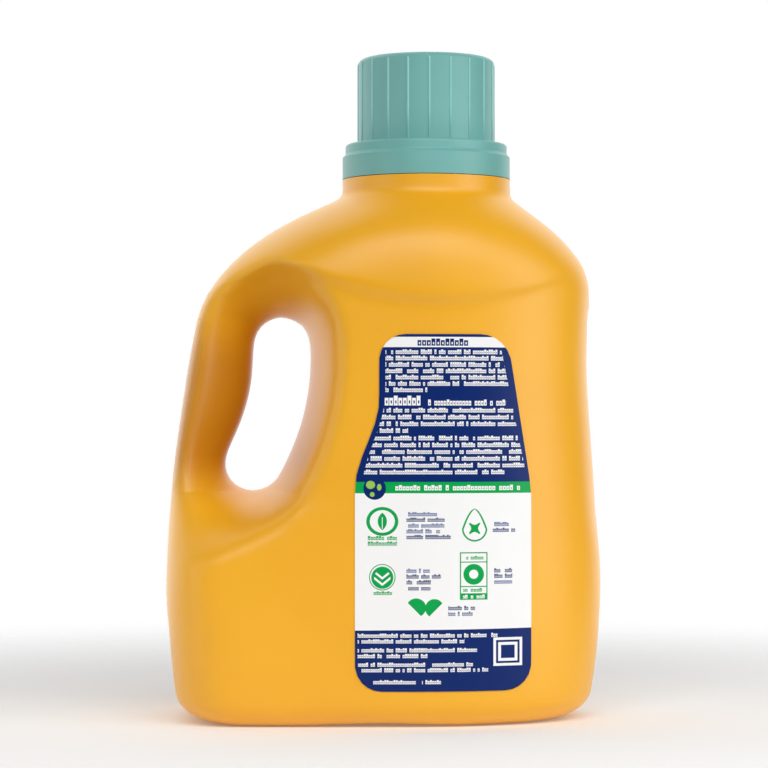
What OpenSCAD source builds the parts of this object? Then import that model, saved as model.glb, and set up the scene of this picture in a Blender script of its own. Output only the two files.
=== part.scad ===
// Laundry detergent bottle with a through handle, a drain-back pour spout and a
// ribbed dosing cap. Millimetres, Z up. X runs from the handle side (negative) to
// the pouring side (positive), and the labelled face looks along negative Y.
// The origin is the middle of the footprint on the standing surface.

/* [Body] */
// Overall height of the bottle with its cap on
total_h = 286; // [280:1:296]
// Width of the body at its widest
body_w = 189; // [180:1:196]
// Depth of the body at its widest
body_d = 110; // [102:1:116]
// Height of the widest part of the body
hip_z = 62; // [56:1:68]
// Width of the waist at the grip
waist_w = 176; // [172:1:180]
// Distance of the waist below the ledge
waist_drop = 28.5; // [24.5:0.5:32.5]
// Wall thickness of the blown body
wall = 1.5; // [1.4:0.1:1.8]
// Wall thickness along the parting line and the ledge
seam_wall = 2.3; // [1.8:0.1:2.6]
// Rise of the rounded edge round the base
base_round = 13; // [10:1:15]
// Height of the arch between the feet
foot_arch = 1; // [0.6:0.1:1.6]
// Depth of the push-up under the base
push_up = 5; // [3:0.5:7]

/* [Shoulder] */
// Height of the shoulder above the lowest point of the ledge
shoulder_h = 45; // [41:0.5:49]
// How far the shoulder stands out over the panel
ledge_step = 2.2; // [1:0.1:3]
// Width of the rolled edge of the ledge
ledge_w = 5; // [4:0.5:7]

/* [Handle] */
// Width of the finger hole
hole_w = 23.6; // [21:0.2:25]
// Distance of the upper end of the hole's centre line below the ledge
hole_drop = 17.1; // [15.5:0.2:19.5]
// Height of the hole's centre line
hole_l = 51.5; // [48.5:0.5:54.5]
// Distance of the hole's upper end from the middle of the body
hole_x = 45; // [43:0.5:47]
// How far the hole's lower end sweeps outwards
hole_sweep = 12.6; // [10:0.2:14]
// Run of the steep wall between the hole and the panel
scoop_run = 14; // [12:0.5:17]
// Run that the same rise would take across the grip
grip_run = 100; // [80:5:120]

/* [Neck] */
// Distance of the neck axis from the middle of the body
neck_x = 18.4; // [16:0.2:20]
// Outer radius of the neck collar under the cap
collar_r = 36.6; // [36:0.1:37]
// Height of the flat top of the neck collar above the shoulder
neck_h = 9.5; // [8.5:0.5:10.5]
// Bore radius of the neck
bore_r = 31.1; // [30.8:0.1:31.3]
// Wall thickness of the threaded finish
finish_wall = 2.1; // [1.8:0.1:2.2]
// Height of the threaded finish above the collar
finish_h = 12.6; // [12:0.2:13]
// Pitch of the neck thread
thread_pitch = 5; // [4.5:0.1:5.2]
// Height of the thread above the finish
thread_h = 0.9; // [0.6:0.1:1]
// Number of turns of the thread
thread_turns = 1.25; // [1:0.25:1.5]

/* [Pour spout] */
// Thickness of the flange that seats on the neck rim
flange_t = 1.2; // [0.8:0.1:1.3]
// Depth of the collar inside the neck
fitment_depth = 19; // [16:0.5:22]
// Wall thickness of the fitment
fitment_wall = 1; // [0.8:0.1:1.2]
// Radius of the spout at its root
spout_root_r = 20; // [18:0.5:21]
// Radius of the spout at its lip
spout_lip_r = 16.5; // [14:0.5:18]
// Rise of the spout above the neck rim
spout_rise = 27; // [20:1:31]
// Width of the drain slot at the back of the spout
slot_w = 9; // [6:0.5:12]

/* [Cap] */
// Height of the cap
cap_h = 52.7; // [50:0.1:56]
// Outer radius of the grip over its ribs
grip_r = 30; // [29.6:0.1:30.6]
// Number of ribs round the grip
ribs = 20; // [16:1:24]
// Radius of the rounded edge of a rib
rib_r = 0.6; // [0.5:0.1:0.8]
// Radius of the rounded edge at the top
cap_round = 3.5; // [2.5:0.5:5]
// Height of the step from the grip to the flange, above the collar
cap_flange_h = 15.5; // [15.3:0.1:16.5]
// Outer radius of the flange
cap_flange_r = 35.2; // [34.6:0.1:35.6]
// Outer radius of the skirt
skirt_r = 36.5; // [36:0.1:36.8]
// Height of the skirt's outer band
skirt_h = 10; // [9:0.5:11]
// Wall thickness of the cap
cap_wall = 1.5; // [1.2:0.1:1.6]
// Distance the dosing wall reaches below the flange
dosing_wall_h = 9.5; // [7:0.5:11]

/* [Back label] */
// Width of the label over its lower part
label_w = 73.6; // [66:0.2:76]
// Width of the label across its top
label_top_w = 53.4; // [48:0.2:58]
// Height of the lower edge of the label
label_low_z = 15.6; // [15:0.2:22]
// Distance of the upper edge of the label below the ledge
label_drop = 14.1; // [12.5:0.2:20.5]
// Distance of the label's middle from the middle of the body
label_x = 24.8; // [22:0.2:26]
// Corner radius of the label
label_corner = 11; // [8:0.5:14]
// Thickness of the label film
label_t = 0.2; // [0.15:0.05:0.3]

/* [Fits] */
// Clearance between the cap and what it covers
cap_gap = 0.3; // [0.25:0.05:0.5]
// Clearance between the fitment and the neck bore
fit_gap = 0.1; // [0.05:0.05:0.2]
// Clearance between the label and the panel under it
label_gap = 0.05; // [0.03:0.01:0.1]

/* [Hidden] */
$fn = 96;

half_w = body_w / 2;
half_d = body_d / 2;
hole_r = hole_w / 2;

// Heights, each hung from the one above it
collar_z = total_h - cap_h - cap_gap;
shoulder_z = collar_z - neck_h;
ledge_z = shoulder_z - shoulder_h;
waist_z = ledge_z - waist_drop;
hole_top_z = ledge_z - hole_drop;
hole_low_z = hole_top_z - hole_l;
label_top_z = ledge_z - label_drop;
flank_z = mix(hip_z, waist_z, 0.43);

// Grid of the moulded skin, counted round the body and round the grip
columns = 64;
half_columns = columns / 2;
seam = 8;
row_size = columns + 1;

// Side outlines as height and distance from the middle, handle side then pouring side
handle_side = [
    [base_round, half_w - 4], [base_round + 17, half_w - 2.2], [hip_z, half_w], [flank_z, half_w - 1.7],
    [waist_z - 12, waist_w / 2], [waist_z + 16, waist_w / 2 - 4.8], [ledge_z + 1, waist_w / 2 - 8.8],
    [shoulder_z - 32.5, waist_w / 2 - 16], [shoulder_z - 19.5, 58.6], [shoulder_z - 8.5, 41],
    [shoulder_z, 22.2]
];
pour_side = [
    [base_round, half_w - 3.9], [base_round + 17, half_w - 1.6], [hip_z, half_w], [flank_z, half_w - 1.6],
    [mix(hip_z, waist_z, 0.72), half_w - 3.5], [waist_z, half_w - 5], [ledge_z - 8.5, half_w - 4.6],
    [ledge_z + 5.5, half_w - 3.9], [shoulder_z - 31.5, 88.8], [shoulder_z - 23.5, 84],
    [shoulder_z - 13.5, 74.6], [shoulder_z, 57]
];
// Half depths of the panel and of the shoulder over it
panel_depth = [[base_round, half_d - 1.2], [hip_z, half_d], [waist_z, half_d - 1.4], [ledge_z + 20, half_d - 2.2]];
shoulder_depth = [
    [hip_z, half_d], [ledge_z - 20, half_d - 2 + ledge_step], [ledge_z + 7, half_d - 1.6 + ledge_step],
    [shoulder_z - 23.5, half_d - 0.8], [shoulder_z - 13.5, half_d - 4.6], [shoulder_z, collar_r + 2.4]
];

function clamp(v, low, high) = max(low, min(high, v));
function mix(a, b, t) = a + (b - a) * t;
function ease(v, low, high) = let (t = clamp((v - low) / (high - low), 0, 1)) t * t * (3 - 2 * t);
function soft_min(a, b, k) = let (h = max(0, 1 - abs(a - b) / k)) min(a, b) - h * h * k / 4;
function unit(v) = v / norm(v);

// Smooth curve through a short list of [height, value] stations
function station_slope(p, i) =
    let (a = p[max(i - 1, 0)], b = p[min(i + 1, len(p) - 1)]) (b[1] - a[1]) / (b[0] - a[0]);
function span_at(p, z, i = 0) = (z <= p[i + 1][0] || i == len(p) - 2) ? i : span_at(p, z, i + 1);
function curve_at(p, z) =
    let (
        i = span_at(p, z),
        run = p[i + 1][0] - p[i][0],
        t = clamp((z - p[i][0]) / run, 0, 1),
        a = station_slope(p, i) * run,
        b = station_slope(p, i + 1) * run,
        rise = p[i + 1][1] - p[i][1]
    )
    p[i][1] + t * (a + t * (3 * rise - 2 * a - b + t * (a + b - 2 * rise)));

function left_x(z) = -curve_at(handle_side, z);
function right_x(z) = curve_at(pour_side, z);

// Centre line of the finger hole, upper end first
hole_bend_z = hole_top_z - 6.6;
spine_steps = 8;
function spine_x(z) = -hole_x - hole_sweep * pow(max(0, hole_bend_z - z) / (hole_bend_z - hole_low_z), 2);
spine = [
    for (i = [0 : spine_steps])
        let (z = mix(hole_top_z, hole_low_z, i / spine_steps)) [spine_x(z), z]
];

// Vector to a point from the nearest point of the hole's centre line
function from_segment(p, a, b) =
    let (t = clamp((p - a) * (b - a) / ((b - a) * (b - a)), 0, 1)) p - mix(a, b, t);
function shortest(v, i = 0, best = 0) =
    i == len(v) ? v[best] : shortest(v, i + 1, norm(v[i]) < norm(v[best]) ? i : best);
function from_spine(p) =
    shortest([for (i = [0 : spine_steps - 1]) from_segment(p, spine[i], spine[i + 1])]);

// Where a curve at a distance from the centre line crosses a height, by halving the
// interval
function edge_search(z, inside, outside, r = hole_r, n = 14) =
    let (m = (inside + outside) / 2)
    n == 0 ? m
        : norm(from_spine([m, z])) < r ? edge_search(z, m, outside, r, n - 1)
        : edge_search(z, inside, m, r, n - 1);
hole_roof_z = hole_top_z + hole_r;
hole_floor_z = hole_low_z - hole_r;
function seam_x(z) =
    let (low = -hole_x - hole_sweep, top = -7.5, t = ease(z, hole_roof_z, shoulder_z))
    z > hole_top_z ? mix(-hole_x, top, t)
        : z < hole_low_z ? low
        : spine_x(z);

// Depth of the scoop wall round the hole, which is steep and straight towards the
// panel, and shallow and rounded across the grip
steepest_turn = -20;
wall_power = [0.85, 0.5];
function scoop(p) =
    let (
        v = from_spine(p),
        away = max(0, norm(v) - hole_r),
        turn = (1 - cos(atan2(v[1], v[0]) - steepest_turn)) / 2,
        run = scoop_run + (grip_run - scoop_run) * pow(turn, 3)
    )
    (half_d - 2.2) * pow(away / run, mix(wall_power[0], wall_power[1], ease(turn, 0.1, 0.8)));

// Half depth of one level section, before the scoop is taken out of it. The body
// is boxy up to the foot of the hole and round in plan at the neck.
crown_x = 10;
boxy_run = [hole_low_z - 41.9, hole_low_z - 9.9];
round_from = shoulder_z - 51.5;
function section(x, z, depth) =
    let (
        boxy = 1 - ease(z, boxy_run[0], boxy_run[1]),
        round = ease(z, round_from, shoulder_z),
        middle = mix(crown_x, (left_x(shoulder_z) + right_x(shoulder_z)) / 2, round),
        reach_l = middle - left_x(z),
        reach_r = right_x(z) - middle,
        corner = mix(reach_l, 25, boxy),
        in_l = 1 - clamp((x - left_x(z)) / corner, 0, 1),
        in_r = clamp((x - middle) / reach_r, 0, 1)
    )
    x < middle
        ? depth * pow(1 - pow(in_l, 3 - boxy - round), 1 / mix(3 + boxy / 2, 2, round))
        : depth * pow(1 - in_r * in_r, 1 / mix(2.3, 2, round));

// Height of the ledge along the front: a shallow dip that arches over the hole
dip_x = 24;
arch_x = -44;
arch_z = 17;
function ledge_at(x) =
    let (
        dip = ledge_z + 8 * pow((x - dip_x) / 46, 2),
        arch = ledge_z + arch_z - 0.016 * pow(min(0, x - arch_x), 2)
    )
    soft_min(dip, arch, 6);
// Distance inside the recessed outline, which keeps clear of the outer edge of the grip
grip_edge = 3;
function inside_outline(x, z) = soft_min(ledge_at(x) - z, x - left_x(z) - grip_edge, 8);

// Half depth of the moulded skin at a point of the front view
soft_edge = [11, 9];
soft_run = [hole_low_z - 24.9, hole_low_z + 10.1];
function skin_y(x, z) =
    let (
        soft = mix(soft_edge[0], soft_edge[1], ease(z, soft_run[0], soft_run[1])),
        below = soft_min(section(x, z, curve_at(panel_depth, z)), scoop([x, z]), soft),
        above = section(x, z, curve_at(shoulder_depth, z)),
        w = ledge_w * mix(0.5, 2.4, ease(-x, 40, 66)),
        t = ease(-inside_outline(x, z), -w, w)
    )
    max(0, mix(below, above, t));

// Column positions across one row: even in angle at the neck, and drawn to both
// edges of the grip and of the body beside the hole
function swing(t) = (1 - cos(180 * t)) / 2;
function plain_swing(t, from, to) = (cos(from) - cos(mix(from, to, t))) / (cos(from) - cos(to));
// On the pouring side, a few columns cover the steep wall and one follows its rim
rim_share = 5 / (half_columns - seam);
least_wall = 13;
function rim_x(z, mid) =
    let (x = edge_search(z, mid, right_x(z), hole_r + scoop_run))
    -soft_min(-x, -mid - least_wall, 6);
function right_run(t) = mix(t, swing(t), 0.6);
function column_x(u, z, seam_z) =
    let (
        hole = seam_z > hole_floor_z && seam_z < hole_roof_z,
        mid = seam_x(seam_z),
        edge_l = hole ? edge_search(seam_z, mid, left_x(seam_z)) : mid,
        edge_r = hole ? edge_search(seam_z, mid, right_x(seam_z)) : mid,
        near = 1 - max(ease(seam_z, hole_roof_z, shoulder_z), ease(hole_floor_z - seam_z, 0, 45)),
        t_l = clamp(u / seam, 0, 1),
        t_r = clamp((u - seam) / (half_columns - seam), 0, 1),
        run_l = mix(plain_swing(t_l, 0, 45), swing(t_l), near),
        rim = rim_x(z, mid),
        plain_r = mix(mid, right_x(z), plain_swing(t_r, 45, 180)),
        holed_r = t_r < rim_share ? mix(edge_r, rim, t_r / rim_share)
            : mix(rim, right_x(z), right_run((t_r - rim_share) / (1 - rim_share)))
    )
    u <= seam ? mix(left_x(z), mid, run_l) + (edge_l - mid) * pow(run_l, 2)
        : mix(plain_r, holed_r, near);
// The same seam column as the right-hand edge of the hole
function right_edge_x(z) = edge_search(z, seam_x(z), right_x(z));

// Nominal row heights. Rows bend upwards between bend_z and the shoulder, so that
// one of them runs along the ledge.
bend_z = ledge_z - 28.5;
bend_top_z = ledge_z + 1.5;
row_x = [for (u = [0 : half_columns]) column_x(u, ledge_z + 8, ledge_z + 8)];
row_ledge = [for (x = row_x) max(ledge_at(x), bend_top_z)];
// The same rows stay level beside the seam, so that none cuts into the hole
level_run = 12;
row_level = [for (x = row_x)
    let (run = x - row_x[seam])
    max(ledge_at(row_x[seam] + sign(run) * max(0, abs(run) - level_run)), bend_top_z)];
// Rows also dip towards the grip under the hole, along the lower rim of the scoop
dip_slope = 0.4;
row_dip = [for (u = [0 : half_columns])
    let (x = column_x(u, hole_floor_z - 10, hole_floor_z - 10))
    dip_slope * (min(x, 0) - seam_x(hole_floor_z)) * (1 - ease(x, -45, 20))];
dip_run = [hole_floor_z - 63.1, hole_floor_z - 23.1];
function dip_share(nominal) =
    ease(nominal, dip_run[0], dip_run[1]) * (1 - ease(nominal, dip_run[1], hole_floor_z));
function row_z(u, nominal) =
    nominal < bend_z ? nominal + row_dip[u] * dip_share(nominal)
        : nominal < ledge_z
            ? let (t = (nominal - bend_z) / (ledge_z - bend_z))
                mix(bend_z, mix(row_level[u], row_ledge[u], ease(t, 0.55, 1)), t)
        : mix(row_ledge[u], shoulder_z, (nominal - ledge_z) / (shoulder_z - ledge_z));
hole_roof_row = bend_z + (hole_roof_z - bend_z) * (ledge_z - bend_z) / (row_ledge[seam] - bend_z);

lower_rows = 17;
hole_rows = 16;
rows = concat(
    [for (i = [1 : lower_rows - 1]) mix(hole_floor_z, base_round, pow(1 - i / lower_rows, 1.7))],
    [for (i = [0 : hole_rows]) mix(hole_floor_z, hole_roof_row, swing(i / hole_rows))],
    [for (z = [0.5, 1.6, 3.2]) hole_roof_row + z],
    [for (z = [-8.5, -6, -4, -2.4, -0.8, 0.8, 2.4, 4.2]) ledge_z + z],
    [for (z = [36.5, 31.5, 26.5, 21.5, 16.5, 11.5, 7, 3]) shoulder_z - z],
    [shoulder_z]
);
first_hole = lower_rows - 1;
last_hole = first_hole + hole_rows;

// A point of the skin. Columns 0 to 32 run across the front and the rest come back
// across the rear.
function across(i) = i <= half_columns ? i : columns - i;
function side(i) = i < half_columns ? -1 : 1;
function skin_point(i, nominal) =
    let (
        u = across(i),
        z = row_z(u, nominal),
        x = column_x(u, z, row_z(seam, nominal)),
        edge = u == 0 || u == half_columns
            || (u == seam && nominal >= rows[first_hole] && nominal <= rows[last_hole])
    )
    [x, edge ? 0 : side(i) * skin_y(x, z), z];
function hole_edge_point(nominal) =
    let (z = row_z(seam, nominal)) [right_edge_x(z), 0, z];

// Rounded edge at the base: shrunken copies of the lowest wall row, which come
// down to four feet with a shallow arch between them
round_steps = 6;
inset_x = 20;
inset_y = 12;
foot_x = 40;
base_loop = [for (i = [0 : columns - 1])
    let (u = across(i), x = column_x(u, base_round, base_round))
    [x, (u == 0 || u == half_columns) ? 0 : side(i) * section(x, base_round, curve_at(panel_depth, base_round))]];
function foot_z(x) = foot_arch * pow(max(0, 1 - pow(x / foot_x, 2)), 1.5);
function base_point(i, turn) =
    let (
        p = base_loop[i],
        kx = 1 - inset_x / half_w * (1 - sin(turn)),
        ky = 1 - inset_y / half_d * (1 - sin(turn))
    )
    [p[0] * kx, p[1] * ky, base_round * (1 - cos(turn)) + foot_z(p[0]) * cos(turn)];
// Underside: a narrow standing band, then the push-up
under_steps = [[1, 0], [0.93, 0], [0.84, 0.55], [0.7, 0.9], [0.4, 1]];
function under_point(i, step) =
    let (p = base_point(i, 0)) [p[0] * step[0], p[1] * step[0], mix(p[2], push_up, step[1])];

// Fillet from the shoulder into the collar, then the collar itself
fillet_z = shoulder_z + 1.9;
fillet_top_z = collar_z - 5;
function circle_point(i, r, z) =
    let (
        p = skin_point(i, shoulder_z),
        turn = atan2(p[1], p[0] - (left_x(shoulder_z) + right_x(shoulder_z)) / 2)
    )
    [neck_x + r * cos(turn), r * sin(turn), z];
function fillet_point(i, t) =
    let (
        a = skin_point(i, shoulder_z),
        b = circle_point(i, collar_r, fillet_z),
        c = circle_point(i, collar_r, fillet_top_z)
    )
    a * pow(1 - t, 2) + b * 2 * t * (1 - t) + c * t * t;

// Inner skin: the outer one moved in by the wall along its own normal, and further
// at the parting line and along the ledge, where the wall is thicker
probe = 0.05;
function depth_square(x, z) =
    (x <= left_x(z) || x >= right_x(z) || norm(from_spine([x, z])) < hole_r) ? 0 : pow(skin_y(x, z), 2);
function inward(p, d) =
    let (
        gx = depth_square(p[0] + probe, p[2]) - depth_square(p[0] - probe, p[2]),
        gz = depth_square(p[0], p[2] + probe) - depth_square(p[0], p[2] - probe)
    )
    p + d * unit([gx, -4 * probe * p[1], gz]);
function inner_point(p) =
    let (
        off_seam = ease(abs(p[1]), 0, 8),
        off_ledge = ease(abs(inside_outline(p[0], p[2])), 2, 8)
    )
    inward(p, mix(seam_wall, wall, min(off_seam, off_ledge)));

// The outer skin has rows of row_size points: one loop, then the right edge of the hole
function row_points(i_row) =
    let (n = rows[i_row])
    [for (i = [0 : columns - 1]) skin_point(i, n),
        (i_row > first_hole && i_row < last_hole) ? hole_edge_point(n) : skin_point(seam, n)];
function loop_of(points) = concat(points, [points[seam]]);

outer_rows = concat(
    [for (s = [len(under_steps) - 1 : -1 : 0])
        loop_of([for (i = [0 : columns - 1]) under_point(i, under_steps[s])])],
    [for (k = [1 : round_steps]) loop_of([for (i = [0 : columns - 1]) base_point(i, 90 * k / round_steps)])],
    [for (r = [0 : len(rows) - 1]) row_points(r)],
    [for (t = [0.25, 0.5, 0.75, 1]) loop_of([for (i = [0 : columns - 1]) fillet_point(i, t)])],
    [loop_of([for (i = [0 : columns - 1]) circle_point(i, collar_r, collar_z)])]
);
skipped = len(under_steps) + round_steps;

// Rows and columns of the inner skin are every second one of the outer skin
inner_columns = columns / 2;
inner_seam = seam / 2;
function loop_of_inner(points) = concat(points, [points[inner_seam]]);
inner_picks = concat(
    [for (r = [1 : 2 : first_hole - 2]) r],
    [for (r = [first_hole : 2 : last_hole]) r],
    [for (r = [last_hole + 2 : 2 : len(rows) - 1]) r]
);
function inner_base(i, scale, z) =
    let (p = base_loop[2 * i]) [p[0] * (1 - wall / half_w) * scale, p[1] * (1 - wall / half_d) * scale, z];
inner_rows = concat(
    [for (s = [[0.4, push_up + wall], [0.7, push_up + wall], [0.8, foot_arch + wall + 1], [0.91, base_round * 0.55]])
        loop_of_inner([for (i = [0 : inner_columns - 1]) inner_base(i, s[0], s[1])])],
    [for (r = inner_picks)
        let (points = outer_rows[skipped + r])
        [for (i = [0 : inner_columns - 1]) inner_point(points[2 * i]), inner_point(points[columns])]],
    [loop_of_inner([for (i = [0 : inner_columns - 1]) circle_point(2 * i, collar_r - 2, fillet_top_z - 1.5)])],
    [loop_of_inner([for (i = [0 : inner_columns - 1]) circle_point(2 * i, bore_r + 0.5, collar_z - 1.5)])],
    [loop_of_inner([for (i = [0 : inner_columns - 1]) circle_point(2 * i, bore_r + 0.5, collar_z)])]
);
inner_row_size = inner_columns + 1;
inner_lead = 4;
inner_first = inner_lead + len([for (r = inner_picks) if (r < first_hole) r]);
inner_last = inner_lead + len([for (r = inner_picks) if (r < last_hole) r]);

// Index of the vertex of a loop. At the hole the seam column opens into a left and
// a right edge, and front and rear share both.
function vertex(row, i, right, n, cut, size, first, last) =
    let (c = i % n)
    row * size + ((c == cut || c == n - cut) && row >= first && row <= last
        ? (right && row > first && row < last ? n : cut) : c);
// Each four-sided patch is split along its shorter diagonal
function skin_faces(points, count, n, cut, size, first, last, start) = [
    for (row = [0 : count - 2], i = [0 : n - 1])
        let (
            right = i == cut || i == n - cut - 1,
            a = start + vertex(row, i, right, n, cut, size, first, last),
            b = start + vertex(row, i + 1, right, n, cut, size, first, last),
            c = start + vertex(row + 1, i + 1, right, n, cut, size, first, last),
            d = start + vertex(row + 1, i, right, n, cut, size, first, last)
        )
        each norm(points[a] - points[c]) < norm(points[b] - points[d])
            ? [[a, c, b], [a, d, c]]
            : [[a, d, b], [b, d, c]]
];
function turned(faces) = [for (f = faces) [f[0], f[2], f[1]]];

module body_shell() {
    outer_count = len(outer_rows);
    inner_count = len(inner_rows);
    inner_start = outer_count * row_size;
    rim_out = (outer_count - 1) * row_size;
    rim_in = inner_start + (inner_count - 1) * inner_row_size;
    floor_out = inner_start + inner_count * inner_row_size;
    floor_in = floor_out + 1;
    points = concat(
        [for (row = outer_rows) each row],
        [for (row = inner_rows) each row],
        [[0, 0, push_up], [0, 0, push_up + wall]]
    );
    outer = skin_faces(points, outer_count, columns, seam, row_size,
        skipped + first_hole, skipped + last_hole, 0);
    inner = turned(skin_faces(points, inner_count, inner_columns, inner_seam, inner_row_size,
        inner_first, inner_last, inner_start));
    rim = [
        for (k = [0 : inner_columns - 1])
            let (
                a = rim_out + 2 * k,
                b = a + 1,
                c = rim_out + (2 * k + 2) % columns,
                p = rim_in + k,
                q = rim_in + (k + 1) % inner_columns
            )
            each [[a, p, b], [b, p, q], [b, q, c]]
    ];
    floors = [
        for (i = [0 : columns - 1]) [floor_out, i, (i + 1) % columns],
        for (i = [0 : inner_columns - 1]) [floor_in, inner_start + (i + 1) % inner_columns, inner_start + i]
    ];
    polyhedron(points, concat(outer, inner, rim, floors), convexity = 10);
}

// Threaded finish over the collar, exact, sunk a little into the moulded collar
finish_r = bore_r + finish_wall;
finish_root = 2.2;
rim_z = collar_z + finish_h;
rim_chamfer = 0.5;
module neck_finish() {
    translate([neck_x, 0, 0])
        rotate_extrude()
            polygon([
                [bore_r, collar_z - finish_root],
                [finish_r, collar_z - finish_root],
                [finish_r, rim_z - rim_chamfer],
                [finish_r - rim_chamfer, rim_z],
                [bore_r, rim_z]
            ]);
}

// Helical thread whose height runs out to nothing at both ends
thread_steps = 24;
thread_root_w = 2.4;
thread_crest_w = 1;
thread_start_z = collar_z + 2.6;
thread_sunk = 0.4;
module neck_thread() {
    count = thread_steps * thread_turns;
    points = [
        for (k = [0 : count])
            let (
                turn = 360 * k / thread_steps,
                lead = min(1, min(k, count - k) / 4),
                crest = finish_r + thread_h * lead,
                z = thread_start_z + thread_pitch * k / thread_steps
            )
            each [
                for (c = [
                    [finish_r - thread_sunk, -thread_root_w / 2], [finish_r, -thread_root_w / 2],
                    [crest, -thread_crest_w / 2], [crest, thread_crest_w / 2],
                    [finish_r, thread_root_w / 2], [finish_r - thread_sunk, thread_root_w / 2]
                ])
                    [neck_x + c[0] * cos(turn), c[0] * sin(turn), z + c[1]]
            ]
    ];
    corners = 6;
    sides = [
        for (k = [0 : count - 1], c = [0 : corners - 1])
            let (
                a = k * corners + c,
                b = k * corners + (c + 1) % corners
            )
            each [[a, b, b + corners], [a, b + corners, a + corners]]
    ];
    ends = [
        [for (c = [corners - 1 : -1 : 0]) c],
        [for (c = [0 : corners - 1]) count * corners + c]
    ];
    polyhedron(points, concat(sides, ends), convexity = 6);
}

module bottle() {
    color("orange") {
        body_shell();
        neck_finish();
        neck_thread();
    }
}

// Drain-back fitment: a flange on the neck rim, a collar in the bore, a floor that
// slopes down to the slot, and a tapered spout that is cut back on the slot side
fitment_r = bore_r - fit_gap;
fitment_bore_r = fitment_r - fitment_wall;
floor_z = rim_z - fitment_depth + 3.5;
floor_tilt = 6;
lip_drop = 13;
spout_wall = fitment_wall + 0.2;
spout_h = rim_z + spout_rise - floor_z;
module spout_floor() {
    intersection() {
        translate([0, 0, rim_z - fitment_depth])
            cylinder(r = fitment_r - fitment_wall / 2, h = fitment_depth);
        translate([0, 0, floor_z])
            rotate([0, -floor_tilt, 0])
                cylinder(r = fitment_r + 2, h = spout_wall, center = true);
    }
}
module fitment_collar() {
    rotate_extrude()
        polygon([
            [fitment_bore_r, rim_z - fitment_depth],
            [fitment_r - 0.3, rim_z - fitment_depth],
            [fitment_r, rim_z - fitment_depth + 1],
            [fitment_r, rim_z],
            [finish_r, rim_z],
            [finish_r, rim_z + flange_t],
            [fitment_bore_r, rim_z + flange_t]
        ]);
}
module pour_spout() {
    root_below = 4;
    taper = (spout_root_r - spout_lip_r) / spout_h;
    color("ivory") translate([neck_x, 0, 0]) difference() {
        union() {
            fitment_collar();
            spout_floor();
            translate([0, 0, floor_z])
                cylinder(r1 = spout_root_r, r2 = spout_lip_r, h = spout_h);
        }
        translate([0, 0, floor_z - root_below])
            cylinder(
                r1 = spout_root_r - spout_wall + root_below * taper,
                r2 = spout_lip_r - spout_wall - taper,
                h = spout_h + root_below + 1
            );
        // slanted lip, high on the pouring side
        translate([spout_lip_r, 0, rim_z + spout_rise])
            rotate([0, -atan(lip_drop / (2 * spout_lip_r)), 0])
                translate([-3 * spout_lip_r, -2 * spout_lip_r, 0])
                    cube([4 * spout_lip_r, 4 * spout_lip_r, spout_rise]);
        // drain slot down the back of the spout to the floor
        translate([-spout_root_r - 1, -slot_w / 2, floor_z + spout_wall / 2 - 2 * spout_root_r * sin(floor_tilt) / 2])
            cube([spout_root_r, slot_w, spout_h]);
    }
}

// One-piece dosing cap: ribbed cup, flange and skirt, with the cup's wall carried
// on down as a dosing wall that drips back inside the fitment
cap_low_z = collar_z + cap_gap;
flange_top_z = collar_z + cap_flange_h;
cap_under_z = rim_z + flange_t + cap_gap;
dosing_r = fitment_bore_r - cap_gap;
cup_r = dosing_r - cap_wall;
skirt_bore_r = finish_r + thread_h + cap_gap;
cove_h = flange_top_z - cap_low_z - skirt_h - 3.9;
edge_r = 1.2;
rib_turn = 1.9;
grip_wall_r = grip_r - 0.4;
function arc(cx, cz, r, from, to, n) =
    [for (k = [0 : n]) let (t = mix(from, to, k / n)) [cx + r * cos(t), cz + r * sin(t)]];
module cap_grip() {
    intersection() {
        translate([0, 0, cap_under_z])
            rotate(rib_turn - 90)
                linear_extrude(total_h - cap_under_z) {
                    circle(r = grip_wall_r);
                    for (k = [0 : ribs - 1])
                        rotate(360 * k / ribs)
                            translate([grip_r - rib_r, 0])
                                circle(r = rib_r, $fn = 24);
                }
        rotate_extrude()
            polygon(concat(
                [[0, cap_under_z], [grip_r + 1, cap_under_z], [grip_r + 1, total_h - cap_round - 1],
                    [grip_r, total_h - cap_round - 1]],
                arc(grip_r - cap_round, total_h - cap_round, cap_round, 0, 90, 8),
                [[0, total_h]]
            ));
    }
}
module cap_skirt() {
    band_top = cap_low_z + skirt_h;
    rotate_extrude()
        polygon(concat(
            [[skirt_bore_r, cap_low_z], [skirt_r, cap_low_z], [skirt_r, band_top - 0.5], [skirt_r - 0.5, band_top]],
            arc(skirt_r - 0.3, band_top + cove_h, skirt_r - 0.3 - cap_flange_r, 225, 180, 3),
            arc(cap_flange_r - edge_r, flange_top_z - edge_r, edge_r, 0, 90, 5),
            [[0, flange_top_z], [0, cap_under_z - dosing_wall_h], [dosing_r, cap_under_z - dosing_wall_h],
                [dosing_r, cap_under_z], [skirt_bore_r, cap_under_z]]
        ));
}
module cap() {
    color("cadetblue") translate([neck_x, 0, 0]) difference() {
        union() {
            cap_grip();
            cap_skirt();
        }
        translate([0, 0, cap_under_z - dosing_wall_h - 1])
            cylinder(r = cup_r, h = total_h - cap_wall - cap_under_z + dosing_wall_h + 1);
    }
}

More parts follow.
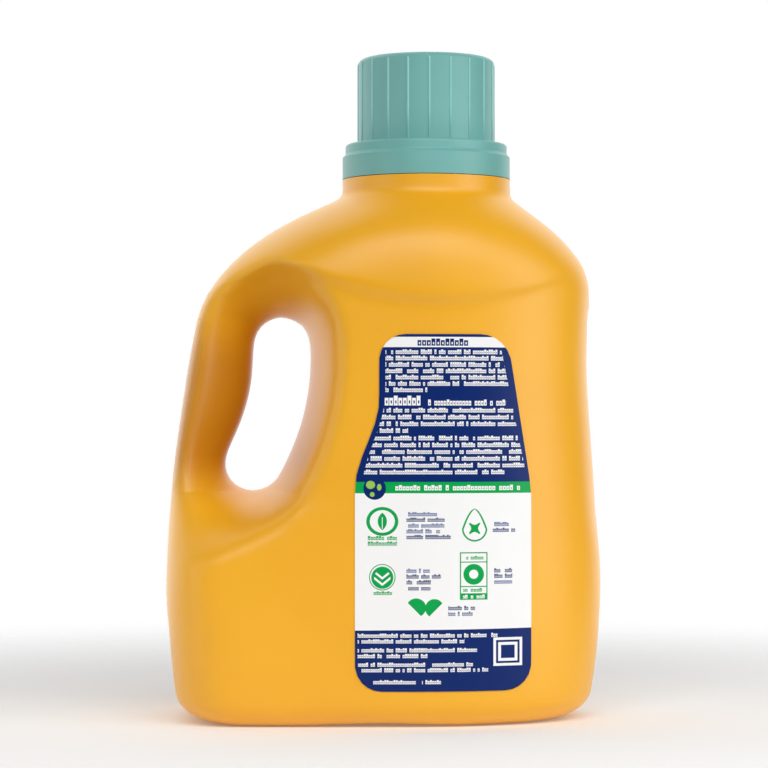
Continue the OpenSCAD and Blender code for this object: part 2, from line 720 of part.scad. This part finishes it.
// Film label that follows the panel: straight lower part, waisted upper part and
// rounded corners
label_columns = 16;
label_rows = 30;
label_flare = [hole_low_z - 9.9, hole_top_z - 24.4];
function label_corner_in(z) =
    let (d = max(0, label_corner - min(z - label_low_z, label_top_z - z)))
    label_corner - sqrt(max(0, label_corner * label_corner - d * d));
function label_half(z, spread) =
    mix(label_w, label_top_w, spread) / 2 - label_corner_in(z);
function label_left(z) = label_x - label_half(z, ease(z, label_flare[0], label_flare[1]));
function label_right(z) =
    label_x + label_half(z, clamp((z - label_flare[0]) / (label_top_z - label_flare[0]), 0, 1));
function label_point(c, r, lift) =
    let (
        z = mix(label_low_z, label_top_z, swing(r / label_rows)),
        x = mix(label_left(z), label_right(z), c / label_columns)
    )
    inward([x, -skin_y(x, z), z], -lift);
module back_label() {
    size = label_columns + 1;
    sheet = size * (label_rows + 1);
    points = [
        for (lift = [label_gap, label_gap + label_t], r = [0 : label_rows], c = [0 : label_columns])
            label_point(c, r, lift)
    ];
    front = [
        for (r = [0 : label_rows - 1], c = [0 : label_columns - 1])
            let (a = sheet + r * size + c)
            each [[a, a + size + 1, a + 1], [a, a + size, a + size + 1]]
    ];
    edge = concat(
        [for (c = [0 : label_columns - 1]) c],
        [for (r = [0 : label_rows - 1]) label_columns + r * size],
        [for (c = [label_columns : -1 : 1]) label_rows * size + c],
        [for (r = [label_rows : -1 : 1]) r * size]
    );
    walls = [
        for (k = [0 : len(edge) - 1])
            let (a = edge[k], b = edge[(k + 1) % len(edge)])
            each [[a, a + sheet, b + sheet], [a, b + sheet, b]]
    ];
    back = [for (f = front) [f[0] - sheet, f[2] - sheet, f[1] - sheet]];
    color("midnightblue") polyhedron(points, concat(front, back, walls), convexity = 4);
}

bottle();
pour_spout();
cap();
back_label();
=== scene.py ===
"""Dresses the laundry detergent bottle: satin blown plastic, a moulded dosing cap,
a drain-back spout and a printed film label."""

import math

import bpy
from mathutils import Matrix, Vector


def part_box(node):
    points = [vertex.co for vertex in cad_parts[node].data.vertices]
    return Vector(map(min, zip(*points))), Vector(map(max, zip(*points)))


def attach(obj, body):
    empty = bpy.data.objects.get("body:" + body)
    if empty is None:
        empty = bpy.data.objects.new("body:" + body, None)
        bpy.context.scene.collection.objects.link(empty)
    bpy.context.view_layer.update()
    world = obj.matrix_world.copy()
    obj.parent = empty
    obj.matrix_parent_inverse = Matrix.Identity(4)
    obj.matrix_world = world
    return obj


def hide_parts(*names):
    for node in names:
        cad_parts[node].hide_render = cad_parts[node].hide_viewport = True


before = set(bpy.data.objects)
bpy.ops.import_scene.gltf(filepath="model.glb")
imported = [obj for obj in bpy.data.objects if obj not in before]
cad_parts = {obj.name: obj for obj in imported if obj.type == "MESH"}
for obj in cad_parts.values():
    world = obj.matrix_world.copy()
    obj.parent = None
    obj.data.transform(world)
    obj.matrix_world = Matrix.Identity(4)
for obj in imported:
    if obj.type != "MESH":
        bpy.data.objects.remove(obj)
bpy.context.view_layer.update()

MM = 0.001


# Colours and nodes


def linear(value):
    """One sRGB channel, 0 to 255, as linear light."""
    v = value / 255.0
    return v / 12.92 if v <= 0.04045 else ((v + 0.055) / 1.055) ** 2.4


def colour(red, green, blue):
    """An sRGB colour, 0 to 255, as linear RGBA."""
    return (linear(red), linear(green), linear(blue), 1.0)


class Nodes:
    """One node tree and the way to add to it."""

    def __init__(self, tree):
        self.tree = tree

    def plug(self, value, socket):
        """Links a term or a socket to an input, or sets the input to a number or colour."""
        if isinstance(value, Term):
            value = value.socket
        if isinstance(value, bpy.types.NodeSocket):
            self.tree.links.new(value, socket)
        elif value is not None:
            socket.default_value = value

    def node(self, kind, settings, *values, **named):
        """A node with its settings, then its inputs in order, then its inputs by name."""
        node = self.tree.nodes.new(kind)
        for key, value in settings.items():
            setattr(node, key, value)
        for socket, value in zip(node.inputs, values):
            self.plug(value, socket)
        for name, value in named.items():
            self.plug(value, node.inputs[name])
        return node

    def rise(self, value, low, high, start, end):
        """Rises smoothly from start, where the value is low, to end, where it is high."""
        settings = {"interpolation_type": "SMOOTHSTEP"}
        return self.node("ShaderNodeMapRange", settings, value, low, high, start, end).outputs[0]


class Term:
    """A socket that takes part in shader maths. Each operator adds one Math node."""

    def __init__(self, shader, socket):
        self.shader = shader
        self.socket = socket

    def math(self, operation, *values, clamp=False):
        settings = {"operation": operation, "use_clamp": clamp}
        node = self.shader.node("ShaderNodeMath", settings, *values)
        return Term(self.shader, node.outputs[0])

    def __add__(self, other):
        return self.math("ADD", self, other)

    def __radd__(self, other):
        return self.math("ADD", other, self)

    def __sub__(self, other):
        return self.math("SUBTRACT", self, other)

    def __rsub__(self, other):
        return self.math("SUBTRACT", other, self)

    def __mul__(self, other):
        return self.math("MULTIPLY", self, other)

    def __rmul__(self, other):
        return self.math("MULTIPLY", other, self)

    def __truediv__(self, other):
        return self.math("DIVIDE", self, other)

    def __pow__(self, other):
        return self.math("POWER", self, other)

    def __lt__(self, other):
        return self.math("LESS_THAN", self, other)

    def __gt__(self, other):
        return self.math("GREATER_THAN", self, other)

    def __abs__(self):
        return self.math("ABSOLUTE", self)

    def floor(self):
        return self.math("FLOOR", self)

    def fraction(self):
        return self.math("FRACT", self)

    def root(self):
        return self.math("SQRT", self)

    def larger(self, other):
        return self.math("MAXIMUM", self, other)

    def clipped(self):
        """The same value kept between 0 and 1."""
        return self.math("ADD", self, 0.0, clamp=True)

    def between(self, low, high):
        """1 between low and high, and 0 elsewhere."""
        return (self > low) * (self < high)

    def eased(self, low, high):
        """Rises smoothly from 0 at low to 1 at high."""
        return Term(self.shader, self.shader.rise(self, low, high, 0.0, 1.0))


class Shader(Nodes):
    """One procedural material: a Principled shader fed by terms and tints."""

    def __init__(self, name, **constants):
        self.material = bpy.data.materials.new(name)
        self.material.use_nodes = True
        super().__init__(self.material.node_tree)
        self.surface = self.tree.nodes["Principled BSDF"]
        for socket, value in constants.items():
            self.surface.inputs[socket.replace("_", " ")].default_value = value
        self.place = self.node("ShaderNodeTexCoord", {}).outputs["Object"]
        parts = self.node("ShaderNodeSeparateXYZ", {}, self.place)
        self.x, self.y, self.z = (Term(self, output) for output in parts.outputs)

    def noise(self, waves, detail=2.0):
        """Noise over the piece, 0 to 1, with so many waves per metre."""
        node = self.node("ShaderNodeTexNoise", {}, self.place, Scale=waves, Detail=detail)
        return Term(self, node.outputs["Fac"])

    def tint(self, amount, below, above):
        """The colour below where amount is 0 and above where it is 1. The sockets for
        numbers and vectors between them stay as they are."""
        others = (None,) * 5
        settings = {"data_type": "RGBA"}
        node = self.node("ShaderNodeMix", settings, amount, *others, below, above)
        return node.outputs[2]

    def feed(self, socket, value):
        self.plug(value, self.surface.inputs[socket])

    def bump(self, height, strength, distance):
        """A low relief. The distance is its depth in metres."""
        node = self.node("ShaderNodeBump", {}, Strength=strength, Distance=distance, Height=height)
        self.feed("Normal", node.outputs[0])

    def fine_grain(self, waves, roughness, spread, strength, distance):
        """A fine texture that varies the roughness and stands up as a low relief."""
        grain = self.noise(waves)
        self.feed("Roughness", roughness + spread * grain)
        self.bump(grain, strength, distance)


# Plastics

AMBER = colour(240, 171, 2)
WARM_AMBER = colour(245, 177, 4)
# Painted shade: the darker amber laid over the grip and its hollow
SHADED_AMBER = colour(206, 136, 2)
TEAL = colour(111, 174, 169)
LIGHT_TEAL = colour(117, 180, 175)
# Painted highlight: the paler teal laid on the cap's ribs
RIB_HIGHLIGHT_TEAL = colour(138, 204, 198)
MILK = colour(226, 226, 218)
LIGHT_MILK = colour(238, 238, 232)
CLOUD_EDGES = (0.3, 0.7)

BOTTLE_ROUGHNESS = 0.42
CLOUD_ROUGHNESS = 0.05
GRAIN_ROUGHNESS = 0.04
GRAIN_RELIEF = 0.4
RIPPLE_RELIEF = 0.6

# Where the painted shade over the grip and its hollow fades: across, in depth, and up at its foot and
# its head
GRIP_SIDE = (-0.038, -0.02)
GRIP_DEPTH = (0.036, 0.05)
GRIP_FOOT = (0.09, 0.115)
GRIP_HEAD = (0.15, 0.182)

# The radius that the ribs stand out from, and the heights over which their painted highlight rises
RIB_RADIUS = 0.02975
RIB_FADE = (0.251, 0.264)


def bottle_plastic():
    """Satin blown polyethylene with a faint waviness and a fine grain. The grip and the
    hollow round it carry painted shade: a deeper amber where the body's wall shades them."""
    shader = Shader("bottle_plastic", IOR=1.5, Coat_Weight=0.5, Coat_Roughness=0.4)
    cloud = shader.noise(waves=14.0, detail=3.0)
    ripple = shader.noise(waves=60.0)
    grain = shader.noise(waves=900.0)
    amber = shader.tint(cloud.eased(*CLOUD_EDGES), AMBER, WARM_AMBER)
    # Painted shade: the grip and its hollow are tinted a deeper amber where the body's wall shades them
    grip_shade = (1.0 - shader.x.eased(*GRIP_SIDE)) * (1.0 - abs(shader.y).eased(*GRIP_DEPTH))
    grip_shade = grip_shade * shader.z.eased(*GRIP_FOOT) * (1.0 - shader.z.eased(*GRIP_HEAD))
    shader.feed("Base Color", shader.tint(grip_shade, amber, SHADED_AMBER))
    shader.feed("Roughness", BOTTLE_ROUGHNESS + CLOUD_ROUGHNESS * cloud + GRAIN_ROUGHNESS * grain)
    shader.bump(grain * GRAIN_RELIEF + ripple * RIPPLE_RELIEF, strength=0.08, distance=0.4 * MM)
    return shader.material


def cap_plastic():
    """Satin moulded polypropylene with a fine spark-eroded texture. The thin ribs of
    the grip carry a painted highlight: they are tinted paler towards the top."""
    shader = Shader("cap_plastic", IOR=1.5)
    cloud = shader.noise(waves=30.0)
    teal = shader.tint(cloud.eased(*CLOUD_EDGES), TEAL, LIGHT_TEAL)
    low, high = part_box("cap")
    across = shader.x - (low[0] + high[0]) / 2
    out = (across * across + shader.y * shader.y).root()
    # Painted highlight: the ribs stand out paler, rising in towards the top of the grip
    rib_highlight = (out > RIB_RADIUS) * shader.z.eased(*RIB_FADE)
    shader.feed("Base Color", shader.tint(rib_highlight, teal, RIB_HIGHLIGHT_TEAL))
    shader.fine_grain(waves=1500.0, roughness=0.4, spread=0.08, strength=0.1, distance=0.2 * MM)
    return shader.material


def spout_plastic():
    """Natural, milky polyethylene with a slight change of tone and a fine grain."""
    shader = Shader("spout_plastic", IOR=1.5)
    shader.feed("Base Color", shader.tint(shader.noise(waves=40.0), MILK, LIGHT_MILK))
    shader.fine_grain(waves=1200.0, roughness=0.36, spread=0.08, strength=0.1, distance=0.2 * MM)
    return shader.material


# Label print, in millimetres on the face: x across from the middle, z up from the base

NAVY = colour(0, 36, 104)
GREEN = colour(0, 162, 76)
WHITE = colour(243, 243, 243)
SLATE = colour(84, 100, 150)
LIME = colour(150, 196, 84)

PANEL_FOOT = 102.7
TITLE_BAND = (159.0, 163.3)
PANEL_LEFT = 0.6
PANEL_FLARE = 9.6
FLARE_SPAN = (100.0, 140.0)
PANEL_RIGHT = 60.0
PANEL_LEAN = 0.2
LEAN_FOOT = 104.0
GREEN_BAND = (98.1, 102.8)
FOOTER_HEAD = 41.3
FOOTER_RISE = 0.008
FOOTER_MIDDLE = 25.0

# One stroke, as shares of its pitch and of its line's height: the gap before it, a low one's
# height, what a tall one adds, how many are low, and the middle and half size of its hole
STROKE_GAP = 0.15
STROKE_LOW = 0.78
STROKE_EXTRA = 0.22
LOW_SHARE = 0.66
HOLE_ACROSS = (0.6, 0.14)
HOLE_UP = (0.36, 0.15)

# The share of the pitches that stay empty in a line of strokes
NO_GAPS = 0.0
FEW_GAPS = 0.12
SOME_GAPS = 0.15

# A line of strokes: left end, right end, middle, height, pitch, seed, gaps and ink
TITLE_LINES = ((14.0, 35.4, 161.1, 3.0, 1.95, 3.4, NO_GAPS, NAVY),)
PANEL_LINES = (
    (0.0, 15.2, 136.7, 4.1, 1.9, 8.0, NO_GAPS, WHITE),
    (17.0, 51.0, 135.9, 2.5, 1.3, 5.0, SOME_GAPS, WHITE),
)
BAND_LINES = ((3.0, 57.4, 100.4, 2.2, 1.5, 2.0, SOME_GAPS, WHITE),)
BADGE_LINES = (
    (-6.8, 5.4, 79.5, 1.7, 1.15, 79.5, SOME_GAPS, GREEN),
    (-6.8, 5.4, 77.2, 1.7, 1.15, 77.2, SOME_GAPS, GREEN),
    (-4.5, 3.3, 56.6, 1.5, 1.1, 0.4, SOME_GAPS, GREEN),
    (33.4, 41.6, 71.2, 1.5, 0.9, 1.0, SOME_GAPS, GREEN),
    (32.9, 42.0, 57.8, 1.5, 1.2, 4.0, SOME_GAPS, GREEN),
    (32.9, 42.0, 55.0, 1.5, 1.2, 9.0, SOME_GAPS, WHITE),
)

# The strokes of a block, and the step between the seeds of its lines
BLOCK_HEIGHT = 1.9
BLOCK_PITCH = 0.95
SEED_STEP = 7.37

# A block of lines: middle of the first, step to the next, count, right end of the last
PANEL_BLOCKS = (
    (157.1, 2.65, 7, 18.0),
    (132.7, 2.82, 4, 10.0),
    (121.1, 2.83, 6, 51.0),
)

# Short lines beside the badges: a shared left end, then right end, middle and ink of each
CAPTIONS = (
    (9.3, (
        (22.1, 89.4, SLATE), (25.3, 87.1, NAVY), (25.1, 84.7, SLATE),
        (23.3, 82.3, SLATE), (27.8, 79.9, NAVY),
    )),
    (45.4, ((53.9, 85.1, SLATE), (55.5, 82.7, NAVY))),
    (9.3, ((19.1, 65.9, SLATE), (23.7, 63.5, NAVY), (19.5, 61.1, NAVY), (19.3, 58.6, NAVY))),
    (46.0, ((53.6, 65.8, NAVY), (53.7, 63.5, NAVY), (53.6, 61.1, SLATE))),
    (26.7, ((38.0, 50.3, NAVY), (37.6, 47.9, SLATE))),
)

# White lines of the footer: left end, right end, middle. A seed is the middle times a factor
FOOTER_SEED = 3.1
FOOTER_LINES = (
    (-11.0, 47.4, 38.9), (-11.0, 33.5, 36.5), (-11.0, 38.8, 32.8), (-11.0, 19.1, 30.4),
    (-10.8, 37.5, 26.8), (-9.9, 43.5, 24.5), (-4.5, 13.2, 19.5), (15.8, 23.7, 19.5),
)

# A disc: middle across, middle up, radius, squash
BAND_BADGE = (-3.9, 100.1, 4.7, 1.0)
BAND_PATCHES = ((-5.6, 101.6, 1.7, 0.9), (-2.0, 100.6, 1.4, 1.5), (-4.9, 97.6, 1.0, 1.0))
LOBES = ((13.4, 50.5, 3.9, 0.95), (21.0, 50.2, 3.9, 1.0))

# The nested squares: left, right, low and high, then inset and ink of each
SQUARE = (45.7, 57.9, 25.9, 37.8)
SQUARE_RINGS = ((0.0, WHITE), (1.1, NAVY), (2.0, WHITE), (3.2, NAVY))


class Print:
    """The label's print: an ink that each shape is laid over in turn."""

    def __init__(self, shader):
        self.shader = shader
        self.x = shader.x / MM
        self.z = shader.z / MM
        self.ink = WHITE

    def lay(self, mask, ink):
        self.ink = self.shader.tint(mask, self.ink, ink)

    def box(self, left, right, low, high):
        return self.x.between(left, right) * self.z.between(low, high)

    def disc(self, x, z, radius, squash=1.0):
        """A disc, or an oval where squash isn't 1."""
        across = (self.x - x) * squash
        up = self.z - z
        return (across * across + up * up) < radius * radius

    def ring(self, x, z, radius, inner, squash=1.0):
        return self.disc(x, z, radius, squash) * (1.0 - self.disc(x, z, inner, squash))

    def strokes(self, up, height, pitch, seed, gaps):
        """Meaningless strokes, low and tall, set in uneven runs."""
        along = self.x / pitch
        settings = {"noise_dimensions": "1D"}
        noise = self.shader.node("ShaderNodeTexWhiteNoise", settings, W=along.floor() + seed)
        kind = Term(self.shader, noise.outputs["Value"])
        across = along.fraction()
        top = (kind > LOW_SHARE) * (STROKE_EXTRA * height) + STROKE_LOW * height
        hole_x, hole_width = HOLE_ACROSS
        hole_z, hole_height = HOLE_UP
        hole = abs(across - hole_x) < hole_width
        hole = hole * (abs(up - hole_z * height) < hole_height * height)
        return (kind > gaps) * (across > STROKE_GAP) * (up < top) * (1.0 - hole)

    def line(self, left, right, middle, height, pitch, seed, gaps):
        """One line of strokes."""
        foot = middle - height / 2
        inside = self.box(left, right, foot, middle + height / 2)
        return inside * self.strokes(self.z - foot, height, pitch, seed, gaps)

    def lines(self, rows):
        for *shape, ink in rows:
            self.lay(self.line(*shape), ink)

    def block(self, first, step, count, last_end, left, right):
        """Even lines of strokes. The last of them stops short at last_end."""
        row = (first + step / 2 - self.z) / step
        number = row.floor()
        up = (0.5 - row.fraction()) * step + BLOCK_HEIGHT / 2
        ends = right - (number > count - 1.5) * (right - last_end)
        inside = self.x.between(left, ends) * row.between(0.0, float(count)) * (up > 0.0)
        seed = number * SEED_STEP + first
        return inside * self.strokes(up, BLOCK_HEIGHT, BLOCK_PITCH, seed, SOME_GAPS)


def usage_panel(art):
    """Navy panel: a white title band, a heading and three blocks of strokes."""
    art.lay(art.z > PANEL_FOOT, NAVY)
    art.lay(art.z.between(*TITLE_BAND), WHITE)
    art.lines(TITLE_LINES)
    left = PANEL_LEFT - PANEL_FLARE * (1.0 - art.z.eased(*FLARE_SPAN))
    right = PANEL_RIGHT - (art.z - LEAN_FOOT) * PANEL_LEAN
    for block in PANEL_BLOCKS:
        art.lay(art.block(*block, left, right), WHITE)
    art.lines(PANEL_LINES)


def green_band(art):
    """Green band with a line of strokes and a round two-colour badge."""
    art.lay(art.z.between(*GREEN_BAND), GREEN)
    art.lines(BAND_LINES)
    art.lay(art.disc(*BAND_BADGE), NAVY)
    for patch in BAND_PATCHES:
        art.lay(art.disc(*patch), LIME)


def captions(art):
    """Short dark lines beside the badges."""
    for left, rows in CAPTIONS:
        for right, middle, ink in rows:
            line = art.line(left, right, middle, height=1.75, pitch=0.9, seed=middle, gaps=FEW_GAPS)
            art.lay(line, ink)


def leaf_badge(art):
    """A leaf with a pale vein, in a ring."""
    x = -0.7
    z = 86.4
    shift = 2.5
    leaf = art.disc(x - shift, z, radius=4.4) * art.disc(x + shift, z, radius=4.4)
    art.lay(art.ring(x, z, radius=6.0, inner=4.7, squash=0.9) + leaf, GREEN)
    art.lay(art.box(left=-0.85, right=-0.55, low=83.4, high=88.2), WHITE)


def drop_badge(art):
    """The outline of a drop, with a four-pointed star in it."""
    x = 37.8
    shoulder = 83.2
    overlap = 0.1
    height = 8.4
    radius = 5.3
    wall = 0.8
    hollow = 4.6
    fullness = 0.55
    width = abs(art.x - x)
    climb = (art.z - shoulder) / height
    taper = (1.0 - climb.larger(0.0)).larger(0.0) ** fullness
    over = art.z > shoulder
    under = art.z < shoulder + overlap
    outer = over * (width < taper * radius) + under * art.disc(x, shoulder, radius)
    inner = over * (width < taper * radius - wall) + under * art.disc(x, shoulder, hollow)
    art.lay(outer.clipped() * (1.0 - inner.clipped()), GREEN)
    middle = 83.4
    thickness = 2.2
    up = abs(art.z - middle)
    star = abs((width - up) * (width + up)) < thickness
    art.lay(art.disc(x, middle, radius=3.1) * star, GREEN)


def chevron_badge(art):
    """A ringed disc with two pale chevrons."""
    x = -0.7
    z = 63.0
    tip = 62.2
    slope = 0.8
    art.lay(art.ring(x, 63.2, radius=5.5, inner=5.1) + art.disc(x, z, radius=4.6), GREEN)
    fold = art.z - tip - abs(art.x - x) * slope
    chevrons = fold.between(low=0.0, high=1.1) + fold.between(low=-2.6, high=-1.5)
    art.lay(chevrons * art.disc(x, z, radius=3.4), WHITE)


def framed_badge(art):
    """A ring between two rules in a green frame with a heavy foot."""
    art.lay(art.box(left=31.6, right=43.2, low=53.7, high=73.5), GREEN)
    left = 32.1
    right = 42.7
    half = 0.22
    art.lay(art.box(left, right, low=56.4, high=73.0), WHITE)
    for middle in (59.2, 69.4):
        art.lay(art.box(left, right, middle - half, middle + half), GREEN)
    art.lay(art.ring(x=37.4, z=64.3, radius=4.3, inner=1.9), GREEN)


def lobed_badge(art):
    """Two lobes that run down to one point."""
    left, right = LOBES
    lobes = art.disc(*left) + art.disc(*right)
    middle = 17.2
    tip = 45.2
    notch = art.x.between(low=9.0, high=25.4) * (art.z < tip + abs(art.x - middle))
    art.lay(lobes.clipped() * (1.0 - notch), GREEN)


def footer(art):
    """Navy footer that rises a little to the right, with lines of strokes and a square."""
    rise = (art.x - FOOTER_MIDDLE) * FOOTER_RISE
    art.lay(art.z < FOOTER_HEAD + rise, NAVY)
    for left, right, middle in FOOTER_LINES:
        seed = middle * FOOTER_SEED
        art.lay(art.line(left, right, middle, height=1.7, pitch=0.95, seed=seed, gaps=SOME_GAPS), WHITE)
    left, right, low, high = SQUARE
    for inset, ink in SQUARE_RINGS:
        art.lay(art.box(left + inset, right - inset, low + inset, high - inset), ink)


def label_film():
    """Printed film: navy, green and white fields with plain strokes and simple shapes."""
    shader = Shader("label_film", IOR=1.45, Specular_IOR_Level=0.25)
    art = Print(shader)
    usage_panel(art)
    green_band(art)
    captions(art)
    leaf_badge(art)
    drop_badge(art)
    chevron_badge(art)
    framed_badge(art)
    art.lines(BADGE_LINES)
    lobed_badge(art)
    footer(art)
    shader.feed("Base Color", art.ink)
    shader.fine_grain(waves=700.0, roughness=0.34, spread=0.06, strength=0.06, distance=0.1 * MM)
    return shader.material


# Pieces

MERGE_DISTANCE = 0.005 * MM
SMOOTH_ANGLE = math.radians(40)
QUAD_LIMITS = {"face_threshold": math.radians(35), "shape_threshold": math.radians(60)}
COLLAR_LOW = 229.5 * MM
RELAX_TOP = 228.0 * MM
RELAX_TOP_FADE = 4.0 * MM
RELAX_BASE = 0.5 * MM
RELAX_BASE_FADE = 3.0 * MM
FILM_LIFT = 0.12 * MM


def only(piece):
    """Selects one object alone and makes it active."""
    bpy.ops.object.select_all(action="DESELECT")
    piece.select_set(True)
    bpy.context.view_layer.objects.active = piece


def edit(piece, operator, **settings):
    """Runs one edit-mode operator on the whole of a piece."""
    only(piece)
    bpy.ops.object.mode_set(mode="EDIT")
    bpy.ops.mesh.select_all(action="SELECT")
    operator(**settings)
    bpy.ops.object.mode_set(mode="OBJECT")


def merged_copy(node, name):
    """A copy of a CAD node with its loose triangles merged into one skin."""
    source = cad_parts[node]
    piece = source.copy()
    piece.data = source.data.copy()
    piece.name = name
    piece.data.name = name
    piece.parent = None
    for key in list(piece.keys()):
        del piece[key]
    bpy.context.scene.collection.objects.link(piece)
    edit(piece, bpy.ops.mesh.remove_doubles, threshold=MERGE_DISTANCE)
    return piece


def finish_with(piece, kind, **settings):
    """Adds a modifier with its settings and applies it."""
    only(piece)
    modifier = piece.modifiers.new(kind.lower(), kind)
    for key, value in settings.items():
        setattr(modifier, key, value)
    bpy.ops.object.modifier_apply(modifier=modifier.name)


def paint(piece, material):
    """Gives a piece one material."""
    piece.data.materials.clear()
    piece.data.materials.append(material)


def stand_for(piece, node):
    """Puts a piece in its CAD node's place, on the bottle's body and with its finish."""
    only(piece)
    bpy.ops.object.shade_smooth_by_angle(angle=SMOOTH_ANGLE)
    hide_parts(node)
    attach(piece, "bottle")


def blown_bottle():
    """The moulded skin refined and relaxed below the neck finish."""
    piece = merged_copy("bottle", "blown_bottle")
    edit(piece, bpy.ops.mesh.tris_convert_to_quads, **QUAD_LIMITS)
    crease = piece.data.attributes.new("crease_edge", "FLOAT", "EDGE")
    for edge in piece.data.edges:
        heights = [piece.data.vertices[v].co.z for v in edge.vertices]
        if min(heights) > COLLAR_LOW:
            crease.data[edge.index].value = 1.0
    finish_with(piece, "SUBSURF", levels=1, render_levels=1)
    skin = piece.vertex_groups.new(name="skin")
    for vertex in piece.data.vertices:
        fade = (RELAX_TOP - vertex.co.z) / RELAX_TOP_FADE
        base = (vertex.co.z - RELAX_BASE) / RELAX_BASE_FADE
        skin.add([vertex.index], max(0.0, min(1.0, fade, base)), "REPLACE")
    finish_with(piece, "SMOOTH", factor=0.5, iterations=5, vertex_group="skin")
    paint(piece, bottle_plastic())
    stand_for(piece, "bottle")


def film_label():
    """The printed film, lifted a hair so that it lies on the finer skin."""
    piece = merged_copy("back_label", "film_label")
    edit(piece, bpy.ops.transform.shrink_fatten, value=FILM_LIFT)
    paint(piece, label_film())
    stand_for(piece, "back_label")


def dress_node(node, material):
    """Gives a CAD node its finish and smooth shading."""
    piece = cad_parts[node]
    paint(piece, material)
    for polygon in piece.data.polygons:
        polygon.use_smooth = True


blown_bottle()
film_label()
dress_node("cap", cap_plastic())
dress_node("pour_spout", spout_plastic())


# Studio, lights, camera

FLOOR_SIZE = 6.0
FLOOR_DROP = 0.2 * MM
FLOOR_FADE = (0.2, 0.6)
FLOOR_ROUGHNESS = 0.85
MOTTLE_ROUGHNESS = 0.1
PAPER = colour(246, 246, 246)
LIGHT_PAPER = colour(250, 250, 250)
PURE_WHITE = (1.0, 1.0, 1.0, 1.0)

# The surround: the way to its bright side, how its edge fades, and the strength of each part
REAR = (-0.3, 0.95, 0.0)
REAR_FADE = (0.15, 0.42)
FRONT_GLOW = 0.06
REAR_GLOW = 0.8
MIRRORED_GLOW = 1.7
SEEN_GLOW = 1.0

# A softbox: name, azimuth and elevation in degrees, distance, width and height in metres, watts
SOFTBOXES = (
    ("left_softbox", -62, 8, 1.6, 0.6, 1.3, 4.5),
    ("right_softbox", 60, 10, 1.6, 0.9, 1.5, 12.5),
    ("top_softbox", 5, 38, 1.5, 1.6, 0.7, 14.5),
)

AIM = Vector((0.0, 0.0, 0.14))

CAMERA_PLACE = (0.0, -1.208, 0.1286)
CAMERA_TILT = 0.745
CAMERA_LENS = 129.8
SENSOR_WIDTH = 36.0
CAMERA_REACH = (0.05, 20.0)


def floor_paint():
    """Matt white studio floor, lit from within, that fades into the white surround."""
    shader = Shader("floor_paint", Emission_Color=PURE_WHITE, Emission_Strength=0.12)
    mottle = shader.noise(waves=3.0)
    shader.feed("Base Color", shader.tint(mottle, PAPER, LIGHT_PAPER))
    shader.feed("Roughness", FLOOR_ROUGHNESS + MOTTLE_ROUGHNESS * mottle)
    away = (shader.x * shader.x + shader.y * shader.y).root()
    shader.feed("Alpha", 1.0 - away.eased(*FLOOR_FADE))
    return shader.material


def studio_floor():
    """A plain floor just under the base."""
    bpy.ops.object.select_all(action="DESELECT")
    bpy.ops.mesh.primitive_plane_add(size=FLOOR_SIZE, location=(0, 0, -FLOOR_DROP))
    floor = bpy.context.object
    floor.name = "studio_floor"
    paint(floor, floor_paint())


def softbox(name, azimuth, elevation, distance, width, height, watts):
    """A soft panel that faces the bottle. Azimuth 0 is the camera's side, positive to the right."""
    a = math.radians(azimuth)
    e = math.radians(elevation)
    across = math.sin(a) * math.cos(e)
    back = -math.cos(a) * math.cos(e)
    offset = Vector((across, back, math.sin(e))) * distance
    data = bpy.data.lights.new(name, "AREA")
    data.shape = "RECTANGLE"
    data.size = width
    data.size_y = height
    data.energy = watts
    panel = bpy.data.objects.new(name, data)
    bpy.context.scene.collection.objects.link(panel)
    panel.location = AIM + offset
    panel.rotation_euler = (-offset).to_track_quat("-Z", "Y").to_euler()


def studio_surround():
    """White sweep: dim on the camera's side, bright behind the bottle to the left,
    brighter still where it is mirrored, and plain where it is seen."""
    world = bpy.data.worlds.new("studio_surround")
    bpy.context.scene.world = world
    world.use_nodes = True
    sweep = Nodes(world.node_tree)
    place = sweep.node("ShaderNodeTexCoord", {}).outputs["Generated"]
    path = sweep.node("ShaderNodeLightPath", {}).outputs
    facing = sweep.node("ShaderNodeVectorMath", {"operation": "DOT_PRODUCT"}, place, REAR)
    rear = sweep.node("ShaderNodeMix", {}, path["Is Glossy Ray"], A=REAR_GLOW, B=MIRRORED_GLOW)
    glow = sweep.rise(facing.outputs["Value"], *REAR_FADE, FRONT_GLOW, rear.outputs[0])
    shown = sweep.node("ShaderNodeMix", {}, path["Is Camera Ray"], A=glow, B=SEEN_GLOW)
    background = world.node_tree.nodes["Background"]
    sweep.plug(PURE_WHITE, background.inputs["Color"])
    sweep.plug(shown.outputs[0], background.inputs["Strength"])


def camera():
    """The photograph's view: nearly level, from the label's side."""
    data = bpy.data.cameras.new("front_camera")
    data.lens = CAMERA_LENS
    data.sensor_width = SENSOR_WIDTH
    data.clip_start, data.clip_end = CAMERA_REACH
    eye = bpy.data.objects.new("front_camera", data)
    bpy.context.scene.collection.objects.link(eye)
    eye.location = CAMERA_PLACE
    eye.rotation_euler = (math.radians(90.0 + CAMERA_TILT), 0.0, 0.0)
    bpy.context.scene.camera = eye


studio_floor()
studio_surround()
for panel in SOFTBOXES:
    softbox(*panel)
camera()
bpy.context.scene.view_settings.view_transform = "Standard"
